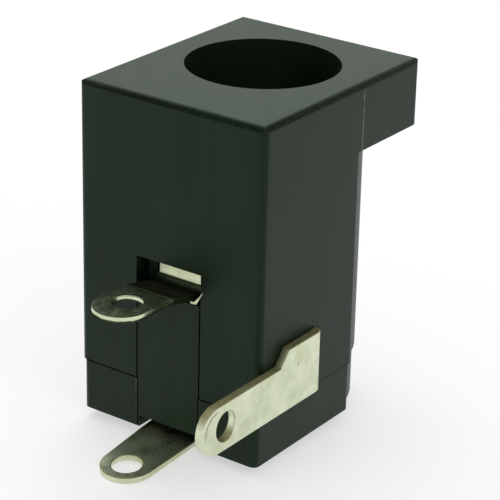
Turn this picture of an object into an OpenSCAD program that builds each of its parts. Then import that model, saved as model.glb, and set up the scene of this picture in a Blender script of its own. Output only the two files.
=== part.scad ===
// Barrel power jack for a circuit board, with a moulded housing, a rear cap, a centre pin
// and three folded terminals: one for the pin, one sprung against the plug's sleeve, and a
// switch terminal that the spring rests on while no plug is in.
//
// Frame: the origin is the middle of the socket's mouth. +Z points out of the mouth, along
// the socket's axis. -Y points at the board, and +X is the switch terminal's side.

/* [Housing] */
// Width of the housing and its flange
body_w = 9; // [8.4:0.1:12]
// Length from the cap's rear face to the mouth
body_len = 14.35; // [13.6:0.05:18]
// Height of the socket's axis above the board
axis_h = 6.1; // [5.7:0.1:7.5]
// Height of the flat sides above the socket's axis
shoulder_h = 0.6; // [0:0.1:2]
// How far the round back is set in from the flat sides
barrel_inset = 0.35; // [0.1:0.05:0.6]
// Length of the square flange at the mouth
flange_len = 2.85; // [1:0.05:4]
// How far the flange stands above the round back
flange_rise = 0.6; // [0.2:0.05:2]
// Rounding of the flange's two corners away from the board
flange_corner = 0.35; // [0.2:0.05:1]
// Rounding of the other edges
edge_r = 0.3; // [0.05:0.01:0.35]

/* [Socket] */
// Diameter of the socket at its mouth
mouth_d = 6.35; // [6:0.05:7.2]
// Depth of the mouth's wider stretch
mouth_depth = 3; // [1:0.1:3.4]
// Diameter of the socket behind the mouth
bore_d = 6; // [5.8:0.05:6.8]

/* [Centre pin] */
// Diameter of the pin
pin_d = 2.1; // [1.6:0.05:2.6]
// Depth of the pin's tip below the mouth
pin_tip_depth = 3.3; // [1.5:0.1:5]
// Length of the pin's rounded nose
pin_nose = 0.6; // [0.2:0.05:0.8]
// Diameter of the pin's collar
collar_d = 2.9; // [2.7:0.05:3.1]
// Thickness of the pin's collar
collar_t = 0.6; // [0.3:0.05:1]
// Diameter of the pin's riveted tail
tail_d = 1.5; // [1:0.05:1.5]
// Diameter of the tail's spread head
rivet_d = 2.2; // [1.8:0.05:2.6]

/* [Rear cap] */
// Thickness of the cap behind the housing
cap_t = 2.2; // [1.6:0.05:3.2]
// How far the cap's edges are set in from the housing's
cap_inset = 0.1; // [0:0.01:0.25]
// Width of the housing's slot for the spring terminal
slot_w = 3.2; // [2.8:0.05:4]
// Thickness of the housing's wall beside the board
board_wall = 0.8; // [0.6:0.05:1.1]
// Gap between the cap's tongue and each side of the slot
tongue_gap = 0.07; // [0.03:0.01:0.15]
// Height of the tongue's end above the seam
tongue_len = 4.05; // [3.2:0.05:5]
// Height of the open window above the tongue's end
window_h = 1.35; // [0.9:0.05:2]
// Depth of the recess for the pin terminal
recess_depth = 0.5; // [0.4:0.05:0.8]
// Diameter of the boss around the pin
boss_d = 3.2; // [3:0.05:3.3]
// Height of the boss above the seam
boss_h = 1.2; // [0.5:0.05:1.6]
// Height of the cap's spigot inside the socket
spigot_h = 1; // [0.3:0.05:1.2]
// Gap between the spigot and the socket's wall
spigot_gap = 0.05; // [0.02:0.01:0.15]

/* [Terminals] */
// Diameter of the eyelet in each terminal
eyelet_d = 1.25; // [0.8:0.05:1.4]
// Gap between a terminal and the moulding around it
terminal_gap = 0.1; // [0.05:0.01:0.2]

/* [Pin terminal] */
// Sheet thickness of the pin terminal
pin_strip_t = 0.25; // [0.2:0.05:0.4]
// Width of the pin terminal at the board face
pin_strip_w = 2.5; // [2:0.02:2.8]
// Width of the pin terminal at its tip
pin_tip_w = 2.3; // [1.9:0.05:2.6]
// How far the pin terminal reaches past the board face
pin_tail_len = 3.65; // [3:0.05:6]
// Distance from the pin terminal's tip to its eyelet's centre
pin_eyelet_back = 1.05; // [0.9:0.05:1.6]
// Angle by which the pin terminal droops
pin_droop = 4.8; // [0:0.1:6]

/* [Spring terminal] */
// Sheet thickness of the spring terminal
spring_t = 0.25; // [0.15:0.01:0.35]
// Width of the spring terminal's tab
spring_tab_w = 2.3; // [2:0.05:2.7]
// How far the spring terminal reaches past the board face
spring_tail_len = 4.05; // [3:0.05:6]
// Distance from the spring terminal's tip to its eyelet's centre
spring_eyelet_back = 1.5; // [0.9:0.05:1.7]
// Width of the spring's leaves
leaf_w = 2.1; // [1.5:0.05:2.3]
// Height of the tab's level end above the tongue's end
tab_rise = 0.5; // [0.2:0.05:0.8]
// Slope of the tab where it leaves the wall
tab_slope = 13; // [5:1:20]
// Inner radius of the hairpin
hairpin_r = 0.55; // [0.35:0.05:0.7]
// Least slope of the inner leaf towards the socket's axis
leaf_slope = 24; // [18:1:30]
// How far the inner leaf's crown bows past the switch terminal's arm
leaf_crown = 0.45; // [0.2:0.05:0.6]
// Slope at which the inner leaf comes back from its crown
crown_slope = 15; // [10:1:20]

/* [Switch terminal] */
// Sheet thickness of the switch terminal
switch_t = 0.4; // [0.25:0.05:0.5]
// Width of the switch terminal's tail
switch_w = 2; // [1.6:0.05:2.4]
// How far the switch terminal reaches past the board face
switch_tail_len = 4.15; // [3:0.05:6]
// Height of the switch terminal's wide part
switch_h = 2.65; // [2.4:0.05:3.4]
// Distance from the board face to the wide part
switch_step = 1.5; // [0.8:0.05:2]
// Slope length of the shoulder between the tail and the wide part
switch_shoulder = 0.55; // [0.2:0.05:0.8]
// Distance from the socket's axis to the arm inside the housing
arm_y = 2.2; // [1.8:0.05:2.7]
// How far the arm reaches past the socket's axis
arm_reach = 1.15; // [0.8:0.05:1.5]
// Distance from the switch terminal's tip to its eyelet's centre
switch_eyelet_back = 1.5; // [1:0.05:2]
// Length of the spring's end that rests on the arm
leaf_overlap = 1.1; // [0.5:0.1:1.8]

/* [Hidden] */

$fn = 96;
cut = 1;                                  // how far a cutting shape runs past a face
bend_step = 6;                            // the angle of each flat in a bend or a round end
plastic = [0.16, 0.18, 0.16];
plating = [0.80, 0.80, 0.70];

// Heights along the socket's axis
rear_z = -body_len;
seam_z = rear_z + cap_t;
recess_z = rear_z + recess_depth;
tongue_z = seam_z + tongue_len;
window_z = tongue_z + window_h;
boss_z = seam_z + boss_h;

// Bends of the sheet metal
bend_r = 1;                               // the gentle bends
root_r = 0.25;                            // where the spring's tab meets its outer leaf
switch_bend_r = 0.1;                      // where the switch terminal turns into the housing
tab_lift = 0.1;                           // straight part between that root and the leaf

// Places across the body
side_x = body_w / 2;
board_y = -axis_h;
barrel_r = side_x - barrel_inset;
flange_top_y = barrel_r + flange_rise;
leaf_y = board_y + board_wall;            // the spring's outer leaf lies against the wall here
channel_w = leaf_w + 2 * terminal_gap;
recess_w = pin_strip_w + 4 * terminal_gap;
tongue_w = slot_w - 2 * tongue_gap;
leaf_touch_y = -arm_y - switch_t;         // the arm's face that the spring rests on

// The spring, from the mouth downwards
hairpin_out_r = hairpin_r + spring_t;
hairpin_z = -mouth_depth - hairpin_out_r - 2 * terminal_gap;
channel_z = hairpin_z + hairpin_out_r + terminal_gap;
crown_y = leaf_touch_y + leaf_crown;
arm_top_z = seam_z + switch_h;
leaf_end_z = arm_top_z - leaf_overlap;
crown_arc = 2 * bend_r + spring_t;        // the crown's radius and that of the bend below it
crown_len = (leaf_crown - crown_arc * (1 - cos(crown_slope))) / sin(crown_slope);
crown_drop = crown_arc * sin(crown_slope) + crown_len * cos(crown_slope);
crown_low_z = arm_top_z + terminal_gap + crown_drop;
leaf_run = crown_y - leaf_y - 2 * spring_t - hairpin_r - bend_r;
slope = max(leaf_slope, slope_down_to(hairpin_z - crown_low_z));
inner_leaf_len = (leaf_drop(slope) - (bend_r - hairpin_r) * sin(slope)) / cos(slope);
leaf_end_len = hairpin_z - leaf_drop(slope) - crown_drop - leaf_end_z;
leaf_foot_z = tongue_z + spring_t + root_r + tab_lift;

// How far the inner leaf comes down between the hairpin and its crown, at a slope
function leaf_drop(slope) =
    (leaf_run + (bend_r - hairpin_r) * cos(slope)) / tan(slope)
    + (bend_r - hairpin_r) * sin(slope);

// The slope at which it comes down by drop
function slope_down_to(drop) =
    atan2(leaf_run, drop) + asin((bend_r - hairpin_r) / norm([leaf_run, drop]));

// ---------------------------------------------------------------- outlines and sheet metal

// A rectangle from corner a to corner b, its corners rounded with the radii in r:
// [low x low y, high x low y, high x high y, low x high y]
module round_rect(a, b, r) {
    corners = [[a.x, a.y, 1, 1], [b.x, a.y, -1, 1], [b.x, b.y, -1, -1], [a.x, b.y, 1, -1]];
    difference() {
        translate(a) square(b - a);
        for (i = [0:3]) if (r[i] > 0) {
            c = corners[i];
            translate([c[0], c[1]]) turned_to(c[2], c[3]) difference() {
                translate([-cut, -cut]) square(r[i] + cut);
                translate([r[i], r[i]]) circle(r[i]);
            }
        }
    }
}

// Turns a corner shape that runs towards +X and +Y to run towards the given signs
module turned_to(sign_x, sign_y) {
    mirror([sign_x < 0 ? 1 : 0, 0]) mirror([0, sign_y < 0 ? 1 : 0]) children();
}

// The edge view of a folded strip of thickness t, as steps of [straight length, bend angle,
// inner radius]. It starts at the origin towards +X with its thickness on the left, and a
// positive angle bends it to the left.
module folded(steps, t) {
    right = side_points(steps, t, 0);
    left = side_points(steps, t, t);
    polygon([each right, for (i = [len(left) - 1:-1:0]) left[i]]);
}

// The points of the line that runs along the strip at distance off from its right side
function side_points(steps, t, off, i = 0, at = [0, 0], heading = 0) =
    i == len(steps) ? [] :
    let (
        start = at + steps[i][0] * [cos(heading), sin(heading)],
        angle = steps[i][1],
        r = steps[i][2],
        next = bend_points(start, heading, angle, r, t, 0)
    ) concat(
        i == 0 ? [at + off * left_of(heading)] : [],
        bend_points(start, heading, angle, r, t, off),
        side_points(steps, t, off, i + 1, next[len(next) - 1], heading + angle)
    );

// The points of that line round one bend
function bend_points(start, heading, angle, r, t, off) =
    let (
        to_left = angle > 0,
        centre = start + left_of(heading) * (to_left ? t + r : -r),
        reach = to_left ? off - t - r : off + r,
        count = ceil(abs(angle) / bend_step)
    ) [for (i = [0:count]) centre + reach * left_of(heading + angle * i / max(1, count))];

// The direction to the left of a heading
function left_of(heading) = [-sin(heading), cos(heading)];

// Extrudes an outline drawn in (Y, Z) along X, about x = 0
module across(width) {
    rotate([90, 0, 90]) linear_extrude(width, center = true) children();
}

// Extrudes an outline drawn in (X, Y) from height a to height b
module between(a, b) {
    translate([0, 0, a]) linear_extrude(b - a) children();
}

// A terminal's tail in plan: it narrows from one width to the other and ends round, with an
// eyelet at distance back from its tip. The tail runs towards -Y from y = 0.
module tail_plan(root_w, tip_w, length, back) {
    round_y = -length + tip_w / 2;
    difference() {
        polygon([
            [-root_w / 2, 0],
            each arc([0, round_y], tip_w / 2, 180, 360),
            [root_w / 2, 0]]);
        translate([0, -length + back]) circle(d = eyelet_d);
    }
}

// Points on an arc, from one angle to another
function arc(centre, r, from, to) =
    let (count = ceil(abs(to - from) / bend_step))
    [for (i = [0:count]) centre + r * left_of(from - 90 + (to - from) * i / count)];

// ---------------------------------------------------------------- mouldings

// The body's outline seen along the axis: a flat-sided block with a round back
module body_outline(inset) {
    low = [-side_x + inset, board_y];
    high = [side_x - inset, shoulder_h];
    round_rect(low, high, [edge_r, edge_r, edge_r, edge_r]);
    circle(barrel_r - inset);
}

// The flange, with its edges at the mouth rounded as well as its corners
module flange() {
    low = [-side_x, board_y];
    high = [side_x, flange_top_y];
    base_z = -flange_len;
    intersection() {
        between(base_z, 0)
            round_rect(low, high, [edge_r, edge_r, flange_corner, flange_corner]);
        rotate([90, 0, 0]) translate([0, 0, -flange_top_y - cut])
            linear_extrude(flange_top_y - board_y + 2 * cut)
                round_rect([low.x, base_z], [high.x, 0], [0, 0, edge_r, edge_r]);
        across(body_w + 2 * cut)
            round_rect([low.y, base_z], [high.y, 0], [0, 0, edge_r, edge_r]);
    }
}

// The slot in the board side, the channel for the spring's leaves, and the switch terminal's
// way in through the side
module housing_openings() {
    from_z = seam_z - cut;
    // the slot through the wall, up to the window's top
    opening(slot_w, board_y - cut, leaf_y, from_z, window_z);
    // behind the tongue the slot runs on into the socket
    opening(slot_w, board_y - cut, 0, from_z, tongue_z);
    // the channel for the leaves, narrower than the slot
    opening(channel_w, board_y - cut, 0, from_z, window_z);
    opening(channel_w, leaf_y, 0, from_z, channel_z);
    // the switch terminal's way in, which it fills in height
    translate([0, leaf_touch_y - switch_bend_r - terminal_gap, from_z])
        cube([side_x + cut, switch_t + switch_bend_r + 2 * terminal_gap, arm_top_z - from_z]);
}

// A cutting block centred on x = 0
module opening(width, from_y, to_y, from_z, to_z) {
    translate([-width / 2, from_y, from_z]) cube([width, to_y - from_y, to_z - from_z]);
}

module housing() {
    color(plastic) difference() {
        union() {
            flange();
            between(seam_z, -flange_len) body_outline(0);
        }
        translate([0, 0, -mouth_depth]) cylinder(d = mouth_d, h = mouth_depth + cut);
        translate([0, 0, seam_z - cut]) cylinder(d = bore_d, h = -mouth_depth - seam_z + cut);
        housing_openings();
    }
}

module rear_cap() {
    spigot_d = bore_d - 2 * spigot_gap;
    spigot_low_y = -boss_d / 2;
    color(plastic) difference() {
        union() {
            between(rear_z, seam_z) body_outline(cap_inset);
            // the tongue that closes the slot
            opening(tongue_w, board_y, leaf_y, recess_z, tongue_z);
            // the spigot in the socket, cut back where the switch terminal's arm passes
            intersection() {
                between(seam_z - cut, seam_z + spigot_h) circle(d = spigot_d);
                translate([-spigot_d, spigot_low_y, seam_z - cut]) cube(2 * spigot_d);
            }
            between(seam_z - cut, boss_z) circle(d = boss_d);
        }
        between(rear_z - cut, boss_z + cut) circle(d = pin_d);
        // the recess for the pin terminal
        between(rear_z - cut, recess_z) {
            circle(d = recess_w);
            translate([-recess_w / 2, board_y - cut]) square([recess_w, -board_y + cut]);
        }
    }
}

// ---------------------------------------------------------------- metal

module centre_pin() {
    tip_z = -pin_tip_depth;
    strip_z = recess_z - pin_strip_t;
    r = pin_d / 2;
    nose_r = r - pin_nose;
    nose_z = tip_z - pin_nose;
    color(plating) rotate_extrude() {
        // the shank, up to where the nose begins, and the collar that seats on the boss
        translate([0, recess_z]) square([r, nose_z - recess_z]);
        translate([0, boss_z]) square([collar_d / 2, collar_t]);
        // the rounded nose
        translate([0, recess_z]) square([nose_r, tip_z - recess_z]);
        intersection() {
            translate([nose_r, nose_z]) circle(pin_nose);
            translate([0, nose_z - pin_nose]) square([r, 2 * pin_nose]);
        }
        // the tail through the terminal, and the head it is spread into
        translate([0, strip_z]) square([tail_d / 2, recess_z - strip_z]);
        translate([0, rear_z]) square([rivet_d / 2, strip_z - rear_z]);
    }
}

module pin_terminal() {
    strip_len = pin_tail_len - board_y + pin_strip_w;
    head_d = pin_strip_w;
    bend_y = -head_d / 2;
    color(plating) difference() {
        intersection() {
            across(2 * pin_strip_w) translate([head_d / 2, recess_z]) rotate(180)
                folded([[head_d / 2 - bend_y, pin_droop, bend_r], [strip_len, 0, 0]], pin_strip_t);
            between(rear_z - axis_h, seam_z) {
                circle(d = head_d);
                translate([-pin_strip_w / 2, board_y]) square([pin_strip_w, axis_h]);
                translate([0, board_y])
                    tail_plan(pin_strip_w, pin_tip_w, pin_tail_len, pin_eyelet_back);
            }
        }
        between(rear_z - cut, seam_z) circle(d = tail_d);
    }
}

// The spring's edge view. From the foot of the outer leaf it runs up through the hairpin and
// down the inner leaf, over the crown that touches the plug, to the end that rests on the
// switch terminal's arm. From the same foot it runs out through the wall as the tab.
module spring_edge_view() {
    slope_len = (tab_rise - tab_lift) / sin(tab_slope);
    union() {
        translate([leaf_y + spring_t, leaf_foot_z]) rotate(90) folded([
            [hairpin_z - leaf_foot_z, slope - 180, hairpin_r],
            [inner_leaf_len, -slope - crown_slope, bend_r],
            [crown_len, crown_slope, bend_r],
            [leaf_end_len, 0, 0]], spring_t);
        translate([leaf_y, leaf_foot_z + tab_lift]) rotate(-90) folded([
            [2 * tab_lift, -90 - tab_slope, root_r],
            [slope_len, tab_slope, bend_r],
            [spring_tail_len, 0, 0]], spring_t);
    }
}

module spring_terminal() {
    color(plating) intersection() {
        across(2 * spring_tab_w) spring_edge_view();
        union() {
            // the tab in plan, through the wall
            between(seam_z, window_z) translate([0, leaf_y])
                tail_plan(spring_tab_w, spring_tab_w, board_wall + spring_tail_len,
                    spring_eyelet_back);
            // the leaves
            opening(leaf_w, leaf_y - tab_lift, 0, leaf_end_z, channel_z);
        }
    }
}

module switch_terminal() {
    tip_y = board_y - switch_tail_len;
    tail_r = switch_w / 2;
    straight = -arm_y - switch_t - switch_bend_r - tip_y;
    arm_len = side_x - switch_bend_r + arm_reach;
    step_y = board_y + switch_step;
    tail_z = seam_z + switch_w;
    color(plating) intersection() {
        between(seam_z, arm_top_z) translate([side_x + switch_t, tip_y]) rotate(90)
            folded([[straight, 90, switch_bend_r], [arm_len, 0, 0]], switch_t);
        // the side view: a round end, the tail, its shoulder and the wide part
        across(4 * side_x) difference() {
            polygon([
                each arc([tip_y + tail_r, seam_z + tail_r], tail_r, 270, 90),
                [step_y - switch_shoulder, tail_z],
                [step_y, arm_top_z],
                [0, arm_top_z],
                [0, seam_z]]);
            translate([tip_y + switch_eyelet_back, seam_z + tail_r]) circle(d = eyelet_d);
        }
    }
}

housing();
rear_cap();
centre_pin();
pin_terminal();
spring_terminal();
switch_terminal();
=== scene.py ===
"""The looks of a barrel power jack: satin black mouldings and tin-plated terminals.

It stands on a pale floor in soft light. Places on the part are in millimetres.
"""

import math

import bmesh
import bpy
from mathutils import Matrix, Vector


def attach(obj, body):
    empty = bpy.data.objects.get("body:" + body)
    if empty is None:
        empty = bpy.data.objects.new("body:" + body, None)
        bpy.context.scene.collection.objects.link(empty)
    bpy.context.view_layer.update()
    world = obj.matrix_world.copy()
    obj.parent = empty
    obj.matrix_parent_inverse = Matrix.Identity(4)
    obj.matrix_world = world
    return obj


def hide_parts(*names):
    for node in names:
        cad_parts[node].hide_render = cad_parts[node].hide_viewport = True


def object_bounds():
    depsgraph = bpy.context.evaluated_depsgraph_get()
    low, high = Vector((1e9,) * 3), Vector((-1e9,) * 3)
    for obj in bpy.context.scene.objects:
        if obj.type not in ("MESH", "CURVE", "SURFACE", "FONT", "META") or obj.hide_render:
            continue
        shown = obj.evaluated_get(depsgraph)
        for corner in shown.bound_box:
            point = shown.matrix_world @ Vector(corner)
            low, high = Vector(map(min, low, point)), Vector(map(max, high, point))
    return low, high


MM = 0.001

# The camera: its direction from the object, its roll, its distance and the point it looks at
CAMERA_AZIMUTH = 35.432
CAMERA_ELEVATION = 23.489
CAMERA_ROLL = 1.329
CAMERA_DISTANCE = 89.489 * MM
CAMERA_TARGET = Vector((-0.42, -0.012, -8.276)) * MM
CAMERA_LENS = 154.57
SENSOR_WIDTH = 36

# Widths of the softened edges
MOULDED_EDGE = 0.04 * MM
STAMPED_EDGE = 0.05 * MM
SIDE_EDGE = 0.08 * MM
TURNED_EDGE = 0.04 * MM
SHARP_ANGLE = math.radians(25)
FLAT_ANGLE = math.radians(0.2)
SMOOTH_ANGLE = math.radians(35)
MERGE_DISTANCE = 1e-5 * MM
EDGE_SEGMENTS = 2
EDGE_LAYER = "softened_edge"

# The burr where the spring's tab leaves the slot: the line it follows, its half width at
# each of these points, and the shape of its section
BURR_PATH = (
    (1.06, -6.12, -7.9),
    (1.22, -6.18, -7.97),
    (1.42, -6.2, -7.93),
    (1.58, -6.17, -7.7),
    (1.72, -6.13, -7.46),
)
BURR_WIDTHS = (0.02, 0.07, 0.08, 0.035, 0.012)
SLIVER_SIDES = 6
SLIVER_FLATNESS = 0.5

# Places on the part that the materials follow, in millimetres
SEAM_Z = -12.15
BOARD_Y = -6.1
TONGUE_SIDE = 1.53
SHOULDER_Y = 0.6
FLANGE_LENGTH = 2.85
RIM_DEPTH = 0.45
SIDE_X = 4.5
SIDE_FACE_X = 4.8
LEAF_Y = -5.3
LEAF_LINE_Z = -7.62
TAB_LOW_Z = -7.66
TAB_ROOT_LENGTH = 1.1
SIDE_TIP_Y = -9.25
SIDE_TIP_Z = -11.15
ROLLED_RIM_RADIUS = 0.84
SCUFF_Y = -4.03
SCUFF_TOP_Z = -10.08
SCUFF_LENGTH = 0.28
SCUFF_SLOPE = 0.22
FAR = 20

# How far the outer leaf's shading leans towards the mouth
LEAF_TILT = 0.4

# Colours of the plastic
PLASTIC_DEEP = (0.002, 0.005, 0.002)
PLASTIC_LIGHT = (0.005, 0.0105, 0.005)
# painted sheen on the upward face around the mouth
PLASTIC_TOP_SHEEN_PAINT = (0.011, 0.024, 0.008)
# painted highlight on the narrow softened edges
PLASTIC_EDGE_HIGHLIGHT = (0.028, 0.036, 0.028)
# painted shade in the seams and grooves between the mouldings
PLASTIC_SEAM_SHADE = (0.0005, 0.0006, 0.0005)
# pale chips and flash, and the painted highlight beside the tongue
PLASTIC_WORN_AND_HIGHLIGHT = (0.16, 0.19, 0.15)
PLASTIC_TINT = (0.6, 0.95, 0.66)

# Colours of the plated metal
PLATE_OLIVE = (0.58, 0.63, 0.43)
PLATE_PALE = (0.76, 0.81, 0.63)
PLATE_STAIN = (0.40, 0.48, 0.20)
PLATE_SPECK = (0.30, 0.30, 0.18)
PLATE_SATIN = (0.66, 0.71, 0.48)
# painted shade on the plate, and the colour of its scuffs
PLATE_TARNISH_AND_SHADE = (0.045, 0.058, 0.032)
CUT_BRASS = (0.17, 0.155, 0.055)
CLEAR_TINT = (1, 1, 1)
# the reflection's tint in painted shade and scuffs
TARNISH_AND_SHADE_TINT = (0.2, 0.2, 0.17)

# Heights of the fine relief in the surfaces
PLASTIC_RELIEF = 0.004 * MM
METAL_RELIEF = 0.012 * MM

# The floor and the light: each lamp's name, place and size in millimetres, and power
WHITE = (1, 1, 1)
FLOOR_SIZE = 800 * MM
FLOOR_COLOUR = (0.48, 0.48, 0.48)
FLOOR_GLOW = 0.54
WORLD_LIGHT = 0.62
WORLD_SEEN = 1.0
LAMPS = (
    ("key", (-60, 60, 180), 140, 0.16),
    ("fill", (160, -60, 120), 120, 0.06),
)

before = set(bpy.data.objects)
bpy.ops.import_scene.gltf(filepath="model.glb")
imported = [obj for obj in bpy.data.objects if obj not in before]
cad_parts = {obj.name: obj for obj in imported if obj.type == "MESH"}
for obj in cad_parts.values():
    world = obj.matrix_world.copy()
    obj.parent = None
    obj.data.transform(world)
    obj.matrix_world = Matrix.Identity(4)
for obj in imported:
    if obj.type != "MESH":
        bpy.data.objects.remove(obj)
cad_low, cad_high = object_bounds()


# ------------------------------------------------------------------------------ camera


def make_camera():
    azimuth, elevation, roll = map(
        math.radians, (CAMERA_AZIMUTH, CAMERA_ELEVATION, CAMERA_ROLL)
    )
    back = Vector(
        (
            math.sin(azimuth) * math.cos(elevation),
            -math.cos(azimuth) * math.cos(elevation),
            math.sin(elevation),
        )
    )
    level_right = Vector((math.cos(azimuth), math.sin(azimuth), 0))
    right = Matrix.Rotation(roll, 3, back) @ level_right
    up = back.cross(right)
    turned = Matrix((right, up, back)).transposed().to_4x4()
    camera = bpy.data.objects.new("camera", bpy.data.cameras.new("camera"))
    camera.matrix_world = (
        Matrix.Translation(CAMERA_TARGET + CAMERA_DISTANCE * back) @ turned
    )
    camera.data.sensor_width = SENSOR_WIDTH
    camera.data.lens = CAMERA_LENS
    camera.data.clip_start = 1 * MM
    camera.data.clip_end = 10
    bpy.context.scene.collection.objects.link(camera)
    bpy.context.scene.camera = camera


# --------------------------------------------------------------------------- materials


class Nodes:
    """The node tree of a new material or world, with short calls to add and join nodes."""

    def __init__(self, owner, output):
        self.owner = owner
        owner.use_nodes = True
        self.tree = owner.node_tree
        self.tree.nodes.clear()
        self.output = self.tree.nodes.new(output)

    def add(self, kind, **inputs):
        node = self.tree.nodes.new("ShaderNode" + kind)
        for name, value in inputs.items():
            self.feed(node, name.replace("_", " "), value)
        return node

    def feed(self, node, name, value):
        """Link or set an input, given by its name, its number or as the socket itself."""
        socket = node.inputs[name] if isinstance(name, (str, int)) else name
        if isinstance(value, bpy.types.NodeSocket):
            self.tree.links.new(value, socket)
        elif socket.type == "RGBA":
            socket.default_value = (*value, 1.0)
        else:
            socket.default_value = value

    def coordinates(self):
        return self.tree.nodes.new("ShaderNodeTexCoord").outputs["Object"]

    def axes(self, vector):
        """The vector's three parts."""
        parts = self.tree.nodes.new("ShaderNodeSeparateXYZ")
        self.tree.links.new(vector, parts.inputs[0])
        return parts.outputs

    def place(self):
        """The point's X, Y and Z in millimetres."""
        return self.axes(self.stretched((1, 1, 1)))

    def facing(self):
        """The X, Y and Z of the surface's direction, without its bumps."""
        geometry = self.tree.nodes.new("ShaderNodeNewGeometry")
        return self.axes(geometry.outputs["Normal"])

    def cut_edge(self):
        """1 on the narrow faces that soften an edge, 0 elsewhere."""
        attribute = self.tree.nodes.new("ShaderNodeAttribute")
        attribute.attribute_name = EDGE_LAYER
        return attribute.outputs["Fac"]

    def stretched(self, scale):
        """The object's coordinates in millimetres, times a scale along each axis."""
        mapping = self.tree.nodes.new("ShaderNodeMapping")
        mapping.inputs["Scale"].default_value = Vector(scale) / MM
        self.feed(mapping, "Vector", self.coordinates())
        return mapping.outputs["Vector"]

    def noise(self, scale, detail=3.0, roughness=0.55):
        """Noise with scale's features to a millimetre."""
        return self.add(
            "TexNoise",
            Vector=self.stretched(scale),
            Scale=1.0,
            Detail=detail,
            Roughness=roughness,
        ).outputs["Fac"]

    def remap(self, value, from_min, from_max, to_min, to_max):
        """The value moved in a straight line from one range to another, and held there."""
        node = self.add("MapRange", Value=value)
        node.clamp = True
        for name, number in (
            ("From Min", from_min),
            ("From Max", from_max),
            ("To Min", to_min),
            ("To Max", to_max),
        ):
            node.inputs[name].default_value = number
        return node.outputs["Result"]

    def within(self, value, low, high, soft):
        """1 between low and high, fading to 0 over soft at each end."""
        rising = self.remap(value, low - soft, low, 0, 1)
        falling = self.remap(value, high, high + soft, 1, 0)
        return self.math("MULTIPLY", rising, falling)

    def all_of(self, *masks):
        """The masks multiplied."""
        product = masks[0]
        for mask in masks[1:]:
            product = self.math("MULTIPLY", product, mask)
        return product

    def either(self, *masks):
        """The largest of the masks."""
        largest = masks[0]
        for mask in masks[1:]:
            largest = self.math("MAXIMUM", largest, mask)
        return largest

    def math(self, operation, a, b=0.0):
        node = self.tree.nodes.new("ShaderNodeMath")
        node.operation = operation
        self.feed(node, 0, a)
        self.feed(node, 1, b)
        return node.outputs[0]

    def mix(self, factor, a, b):
        """A colour between a and b."""
        node = self.tree.nodes.new("ShaderNodeMix")
        node.data_type = "RGBA"
        colours = [s for s in node.inputs if s.type == "RGBA"]
        self.feed(node, node.inputs["Factor"], factor)
        self.feed(node, colours[0], a)
        self.feed(node, colours[1], b)
        return next(s for s in node.outputs if s.type == "RGBA")

    def bump(self, height, distance, strength):
        return self.add(
            "Bump", Height=height, Distance=distance, Strength=strength
        ).outputs["Normal"]

    def vector_math(self, operation, *vectors):
        node = self.tree.nodes.new("ShaderNodeVectorMath")
        node.operation = operation
        for i, vector in enumerate(vectors):
            self.feed(node, i, vector)
        return node.outputs[0]

    def tilted_up(self, normal, amount):
        """The normal, leaning towards +Z by amount."""
        lean = self.add("CombineXYZ", Z=amount)
        total = self.vector_math("ADD", normal, lean.outputs[0])
        return self.vector_math("NORMALIZE", total)

    def seen_directly(self):
        """1 for the camera, mirrors and glass, 0 for the light on other surfaces."""
        ways = self.tree.nodes.new("ShaderNodeLightPath").outputs
        return self.either(
            ways["Is Camera Ray"], ways["Is Glossy Ray"], ways["Is Transmission Ray"]
        )

    def joined(self, kind, *inputs):
        """Shaders added or mixed by a node of this kind."""
        node = self.tree.nodes.new("ShaderNode" + kind)
        for i, value in enumerate(inputs):
            self.feed(node, i, value)
        return node

    def finish(self, shader):
        self.tree.links.new(shader.outputs[0], self.output.inputs["Surface"])
        return self.owner


def material_nodes(name):
    return Nodes(bpy.data.materials.new(name), "ShaderNodeOutputMaterial")


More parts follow.
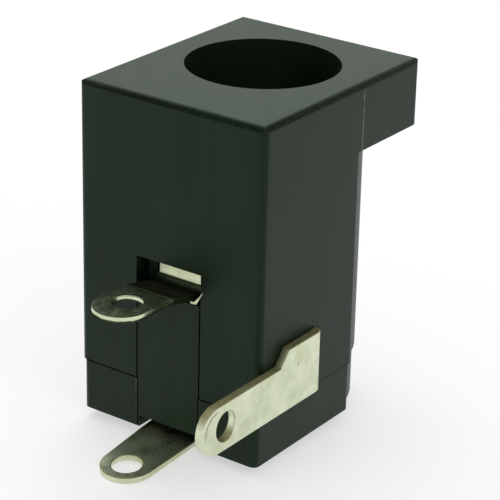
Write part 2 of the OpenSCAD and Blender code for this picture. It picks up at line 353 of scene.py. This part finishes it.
def moulded_plastic(name, seam_shade, pale_lines):
    """Satin black plastic with a green cast, a fine moulded texture, scuffs and chips, and
    painted light: shade in the seams, sheen on the top face and highlights on the edges.

    seam_shade and pale_lines take the node tree and the point's place and return masks: the
    painted shade in the gaps where the two mouldings meet, and the pale lines of flash, or
    of painted highlight beside the tongue.
    """
    n = material_nodes(name)
    x, y, z = n.place()
    facing_z = n.facing()[2]
    patches = n.noise((0.35, 0.35, 0.35), detail=2)
    streaks = n.noise((1.1, 1.1, 0.12), detail=1)
    grain = n.noise((14, 14, 14), detail=2)
    fine = n.noise((30, 30, 30), detail=3, roughness=0.7)
    base = n.mix(patches, PLASTIC_DEEP, PLASTIC_LIGHT)
    # painted sheen: the face around the mouth, which faces up, is painted a paler olive for
    # the light it catches
    top_sheen = n.all_of(n.remap(facing_z, 0.9, 1, 0, 1), n.within(z, -0.1, 0.1, 0.05))
    base = n.mix(top_sheen, base, PLASTIC_TOP_SHEEN_PAINT)
    # painted highlight: the narrow edges are painted paler in places, where they would catch
    # the light
    edge_highlight = n.math("MULTIPLY", n.cut_edge(), n.remap(patches, 0.4, 0.6, 0.15, 0.8))
    base = n.mix(edge_highlight, base, PLASTIC_EDGE_HIGHLIGHT)
    # the round of that face's outer edges is duller than the faces, and chipped
    rim = n.all_of(
        n.within(facing_z, 0.25, 0.85, 0.12), n.within(z, -RIM_DEPTH, 0.1, 0.05)
    )
    chips = n.all_of(
        rim, n.remap(fine, 0.62, 0.68, 0, 1), n.remap(patches, 0.42, 0.5, 0, 1)
    )
    # painted shade where the mouldings meet, darker and with less reflection
    dark = seam_shade(n, x, y, z)
    base = n.mix(dark, base, PLASTIC_SEAM_SHADE)
    # pale chips and flash, or the painted highlight beside the tongue
    pale = n.either(chips, pale_lines(n, x, y, z))
    base = n.mix(pale, base, PLASTIC_WORN_AND_HIGHLIGHT)
    roughness = n.remap(grain, 0.3, 0.7, 0.36, 0.48)
    shine = n.math(
        "MULTIPLY",
        n.math("MULTIPLY", n.remap(rim, 0, 1, 0.36, 0.1), n.remap(dark, 0, 1, 1, 0.1)),
        n.remap(streaks, 0.3, 0.7, 0.93, 1.07),
    )
    shader = n.add("BsdfPrincipled", Base_Color=base, Roughness=roughness, IOR=1.42)
    n.feed(shader, "Specular Tint", PLASTIC_TINT)
    n.feed(shader, "Specular IOR Level", shine)
    n.feed(shader, "Normal", n.bump(grain, PLASTIC_RELIEF, 0.5))
    return n.finish(shader)


def no_mask(n, *place):
    """A mask that covers nothing."""
    return n.math("MULTIPLY", 0.0, 0.0)


def on_board_side(n, y):
    """The flat face towards the board."""
    return n.within(y, BOARD_Y - 0.1, BOARD_Y + 0.1, 0.01)


def on_side_terminal_face(n, x):
    """The side terminal's outer face."""
    return n.remap(x, SIDE_FACE_X, SIDE_FACE_X + 0.05, 0, 1)


def housing_seam_shade(n, x, y, z):
    """Painted shade in the seam: the housing's last tenth of a millimetre before the cap."""
    return n.within(z, SEAM_Z - 0.1, SEAM_Z + 0.025, 0.015)


def cap_seam_shade(n, x, y, z):
    """Painted shade at the cap's edge by the housing, and in the groove down each side of
    its tongue.
    """
    groove = n.math("ABSOLUTE", x)
    beside = n.all_of(
        n.within(groove, TONGUE_SIDE - 0.02, TONGUE_SIDE + 0.035, 0.012),
        on_board_side(n, y),
        n.within(z, -FAR, SEAM_Z, 0.01),
    )
    edge = n.all_of(
        n.within(z, SEAM_Z - 0.03, SEAM_Z + 0.02, 0.015),
        n.remap(groove, TONGUE_SIDE - 0.01, TONGUE_SIDE + 0.01, 0, 1),
    )
    return n.either(beside, edge)


def tongue_highlight(n, x, y, z):
    """Painted highlight: a pale broken line on the cap beside each side of the tongue."""
    broken = n.noise((2.5, 2.5, 2.5), detail=3)
    beside = n.math("ABSOLUTE", x)
    return n.all_of(
        n.within(beside, TONGUE_SIDE + 0.06, TONGUE_SIDE + 0.1, 0.03),
        on_board_side(n, y),
        n.within(z, -FAR, SEAM_Z - 0.05, 0.05),
        n.remap(broken, 0.4, 0.62, 0.06, 0.3),
    )


def housing_flash(n, x, y, z):
    """The mould's parting line across the side of the flange."""
    broken = n.noise((2.5, 2.5, 2.5), detail=2)
    return n.all_of(
        n.remap(x, SIDE_X - 0.02, SIDE_X - 0.01, 0, 1),
        n.within(y, SHOULDER_Y - 0.02, SHOULDER_Y + 0.02, 0.012),
        n.within(z, -FLANGE_LENGTH, -0.3, 0.02),
        n.remap(broken, 0.35, 0.5, 0.35, 1),
    )


def plated_metal(
    name, darkening, roughness_range, speck_level, stains, edge_on=False, satin=None
):
    """Tin plate over brass: pale and a little yellow, with olive patches and specks.

    darkening takes the node tree, the point's place and how far it faces up, and returns
    the mask of the darkened part, which is painted shade and scuffs. A higher speck_level
    leaves fewer specks, and stains is how strong the olive stains are.
    from above. satin gives the mask of a paler, softer part.
    """
    n = material_nodes(name)
    x, y, z = n.place()
    facing_z = n.facing()[2]
    patches = n.noise((1.1, 1.1, 1.1), detail=6, roughness=0.7)
    drag = n.noise((1.6, 0.9, 2.6), detail=6, roughness=0.7)
    specks = n.noise((7, 7, 7), detail=3)
    patched = n.remap(patches, 0.35, 0.65, 0, 1)
    base = n.mix(patched, PLATE_OLIVE, PLATE_PALE)
    stain = n.remap(n.noise((0.9, 0.9, 0.9), detail=2), 0.3, 0.75, 0, stains)
    base = n.mix(stain, base, PLATE_STAIN)
    speck = n.remap(specks, speck_level, speck_level + 0.06, 0, 0.55)
    base = n.mix(speck, base, PLATE_SPECK)
    # the upper cut edges are rough, and brownish where the brass shows
    edge = n.remap(facing_z, 0.3, 0.8, 0, 1)
    if not edge_on:
        edge = n.math("MULTIPLY", edge, n.cut_edge())
    base = n.mix(n.math("MULTIPLY", edge, 0.85), base, CUT_BRASS)
    # painted shade, and scuffs, darken the plate and its reflection here
    darkened = darkening(n, x, y, z, facing_z)
    base = n.mix(darkened, base, PLATE_TARNISH_AND_SHADE)
    glance = n.mix(darkened, CLEAR_TINT, TARNISH_AND_SHADE_TINT)
    roughness = n.remap(drag, 0.35, 0.65, *roughness_range)
    for mask, dulling in ((edge, 0.3), (speck, 0.5), (stain, 0.25), (darkened, 0.3)):
        roughness = n.math("ADD", roughness, n.math("MULTIPLY", mask, dulling))
    normal = n.bump(drag, METAL_RELIEF, 0.6)
    if satin:
        above = satin(n, x, y, z)
        roughness = n.math("ADD", roughness, n.math("MULTIPLY", above, 0.15))
        base = n.mix(above, base, PLATE_SATIN)
        normal = n.tilted_up(normal, n.math("MULTIPLY", above, LEAF_TILT))
    shader = n.add(
        "BsdfPrincipled", Base_Color=base, Roughness=roughness, Metallic=1.0
    )
    n.feed(shader, "Specular Tint", glance)
    n.feed(shader, "Normal", normal)
    return n.finish(shader)


def leaf_shade_and_dark_edge(n, x, y, z, facing_z):
    """Painted shade on the spring's foot low in the window and on the root of its tab by the
    wall, and a darker band along the lower part of its edge.
    """
    wavy = n.noise((3, 3, 3), detail=2)
    line = n.math("ADD", z, n.math("MULTIPLY", wavy, 0.1))
    # painted shade: the leaf below the wavy line, low in the window
    foot = n.all_of(
        n.remap(y, BOARD_Y, BOARD_Y + 0.2, 0, 1),
        n.remap(line, LEAF_LINE_Z, LEAF_LINE_Z + 0.04, 1, 0),
    )
    # painted shade: the root of the tab, by the wall
    root = n.within(y, BOARD_Y - TAB_ROOT_LENGTH, LEAF_Y - 0.06, 0.3)
    low_edge_band = n.all_of(
        n.within(facing_z, -2, 0.3, 0.1), n.within(line, -FAR, TAB_LOW_Z + 0.13, 0.03)
    )
    outside = n.remap(y, LEAF_Y - 0.03, LEAF_Y - 0.01, 1, 0)
    return n.either(foot, n.math("MULTIPLY", root, outside), low_edge_band)


def leaf_satin(n, x, y, z):
    """The outer leaf in the window, above the painted shade on its foot."""
    return n.all_of(
        n.remap(y, LEAF_Y - 0.01, LEAF_Y - 0.005, 0, 1),
        n.remap(z, LEAF_LINE_Z, LEAF_LINE_Z + 0.04, 0, 1),
    )


def side_scuff_and_rim_shade(n, x, y, z, facing_z):
    """A small grey scuff on the side terminal's face, and painted shade in a line along its
    rolled round end.
    """
    wavy = n.noise((6, 6, 6), detail=2)
    side = n.math("ABSOLUTE", n.math("SUBTRACT", y, SCUFF_Y))
    side = n.math("ADD", side, n.math("MULTIPLY", wavy, 0.1))
    fall = n.math("SUBTRACT", SCUFF_TOP_Z, z)
    side = n.math("SUBTRACT", side, n.math("MULTIPLY", fall, SCUFF_SLOPE))
    scuff = n.all_of(
        n.remap(side, 0.02, 0.06, 1, 0),
        n.within(fall, 0, SCUFF_LENGTH, 0.12),
        on_side_terminal_face(n, x),
    )
    from_y = n.math("SUBTRACT", y, SIDE_TIP_Y)
    from_z = n.math("SUBTRACT", z, SIDE_TIP_Z)
    squares = n.math(
        "ADD", n.math("MULTIPLY", from_y, from_y), n.math("MULTIPLY", from_z, from_z)
    )
    reach = n.math("ADD", n.math("SQRT", squares), n.math("MULTIPLY", wavy, 0.08))
    # painted shade along the rolled edge of the round end
    rim = n.all_of(
        n.within(reach, ROLLED_RIM_RADIUS, ROLLED_RIM_RADIUS + 0.05, 0.05),
        n.remap(from_y, -0.2, 0.1, 1, 0),
        n.remap(from_z, -0.2, 0.2, 0, 1),
        on_side_terminal_face(n, x),
    )
    return n.either(n.math("MULTIPLY", scuff, 0.4), n.math("MULTIPLY", rim, 0.45))


# ------------------------------------------------------------------------------ pieces


def softened(node, material, width):
    """Make a copy of a CAD node with its sharp edges softened, to stand for that node."""
    mesh = bpy.data.meshes.new(node + "_surface")
    shape = bmesh.new()
    shape.from_mesh(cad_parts[node].data)
    bmesh.ops.remove_doubles(shape, verts=shape.verts, dist=MERGE_DISTANCE)
    bmesh.ops.dissolve_limit(
        shape, angle_limit=FLAT_ANGLE, verts=shape.verts, edges=shape.edges
    )
    sharp = [e for e in shape.edges if e.calc_face_angle(0) > SHARP_ANGLE]
    layer = shape.faces.layers.float.new(EDGE_LAYER)
    softening = bmesh.ops.bevel(
        shape,
        geom=sharp,
        offset=width,
        offset_type="OFFSET",
        segments=EDGE_SEGMENTS,
        profile=0.5,
        affect="EDGES",
        clamp_overlap=True,
    )
    for face in softening["faces"]:
        face[layer] = 1.0
    for face in shape.faces:
        face.smooth = True
    shape.to_mesh(mesh)
    shape.free()
    mesh.set_sharp_from_angle(angle=SMOOTH_ANGLE)
    piece = bpy.data.objects.new(node + "_surface", mesh)
    bpy.context.scene.collection.objects.link(piece)
    weighted = piece.modifiers.new("weighted", "WEIGHTED_NORMAL")
    weighted.keep_sharp = True
    mesh.materials.append(material)
    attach(piece, "root")
    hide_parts(node)


def sliver(name, material, points, widths):
    """Make a thin pointed curl of metal through points, with a half width at each."""
    mesh = bpy.data.meshes.new(name)
    shape = bmesh.new()
    rings = []
    for i, point in enumerate(points):
        here = Vector(point)
        following = Vector(points[min(i + 1, len(points) - 1)])
        along = following - Vector(points[max(i - 1, 0)])
        side = along.cross(Vector((0, 1, 0))).normalized()
        front = along.cross(side).normalized()
        ring = []
        for k in range(SLIVER_SIDES):
            turn = 2 * math.pi * k / SLIVER_SIDES
            offset = side * math.cos(turn) + front * math.sin(turn) * SLIVER_FLATNESS
            ring.append(shape.verts.new((here + widths[i] * offset) * MM))
        rings.append(ring)
    for low_ring, high_ring in zip(rings, rings[1:]):
        for k in range(SLIVER_SIDES):
            j = (k + 1) % SLIVER_SIDES
            shape.faces.new((low_ring[k], low_ring[j], high_ring[j], high_ring[k]))
    shape.faces.new(rings[0])
    shape.faces.new(rings[-1])
    bmesh.ops.recalc_face_normals(shape, faces=shape.faces)
    shape.to_mesh(mesh)
    shape.free()
    mesh.materials.append(material)
    piece = bpy.data.objects.new(name, mesh)
    bpy.context.scene.collection.objects.link(piece)
    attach(piece, "root")


# ------------------------------------------------------------------- floor and lighting


def make_floor():
    """A wide white floor at the foot of the part, which keeps its shadow."""
    half = FLOOR_SIZE / 2
    mesh = bpy.data.meshes.new("floor")
    z = cad_low.z
    mesh.from_pydata(
        [(-half, -half, z), (half, -half, z), (half, half, z), (-half, half, z)],
        [],
        [(0, 1, 2, 3)],
    )
    floor = bpy.data.objects.new("floor", mesh)
    bpy.context.scene.collection.objects.link(floor)
    n = material_nodes("floor")
    diffuse = n.add("BsdfDiffuse", Color=FLOOR_COLOUR).outputs[0]
    glow = n.add("Emission", Color=WHITE, Strength=FLOOR_GLOW).outputs[0]
    both = n.joined("AddShader", diffuse, glow).outputs[0]
    chosen = n.joined("MixShader", n.seen_directly(), diffuse, both)
    mesh.materials.append(n.finish(chosen))


def make_world():
    """White to the camera and to mirrors, and a soft level light to everything else."""
    n = Nodes(bpy.data.worlds.new("studio"), "ShaderNodeOutputWorld")
    light, seen = (
        n.add("Background", Color=WHITE, Strength=strength).outputs[0]
        for strength in (WORLD_LIGHT, WORLD_SEEN)
    )
    chosen = n.joined("MixShader", n.seen_directly(), light, seen)
    bpy.context.scene.world = n.finish(chosen)


def make_lamp(name, place, size, power):
    """A soft square lamp that faces the part. Its place and size are in millimetres."""
    lamp = bpy.data.lights.new(name, "AREA")
    lamp.shape = "SQUARE"
    lamp.size = size * MM
    lamp.energy = power
    holder = bpy.data.objects.new(name, lamp)
    holder.location = Vector(place) * MM
    aim = CAMERA_TARGET - holder.location
    holder.rotation_mode = "QUATERNION"
    holder.rotation_quaternion = aim.to_track_quat("-Z", "Y")
    bpy.context.scene.collection.objects.link(holder)


make_camera()
make_world()
make_floor()
for lamp in LAMPS:
    make_lamp(*lamp)

housing_plastic = moulded_plastic("housing_plastic", housing_seam_shade, housing_flash)
cap_plastic = moulded_plastic("cap_plastic", cap_seam_shade, tongue_highlight)
side_tin = plated_metal(
    "side_tin", side_scuff_and_rim_shade, (0.25, 0.42), speck_level=0.7, stains=0.12, edge_on=True
)
tail_tin = plated_metal(
    "tail_tin", no_mask, (0.2, 0.3), speck_level=0.69, stains=0.5
)
leaf_tin = plated_metal(
    "leaf_tin", leaf_shade_and_dark_edge, (0.12, 0.24), speck_level=0.67, stains=0.5, satin=leaf_satin
)
for node, slot, material, width in (
    ("housing", "housing_plastic", housing_plastic, MOULDED_EDGE),
    ("rear_cap", "cap_plastic", cap_plastic, MOULDED_EDGE),
    ("centre_pin", "pin_metal", tail_tin, TURNED_EDGE),
    ("pin_terminal", "terminal_metal", tail_tin, STAMPED_EDGE),
    ("spring_terminal", "spring_metal", leaf_tin, STAMPED_EDGE),
    ("switch_terminal", "terminal_metal", side_tin, SIDE_EDGE),
):
    softened(node, material, width)
sliver("tab_burr", side_tin, BURR_PATH, BURR_WIDTHS)

bpy.context.scene.view_settings.view_transform = "Standard"
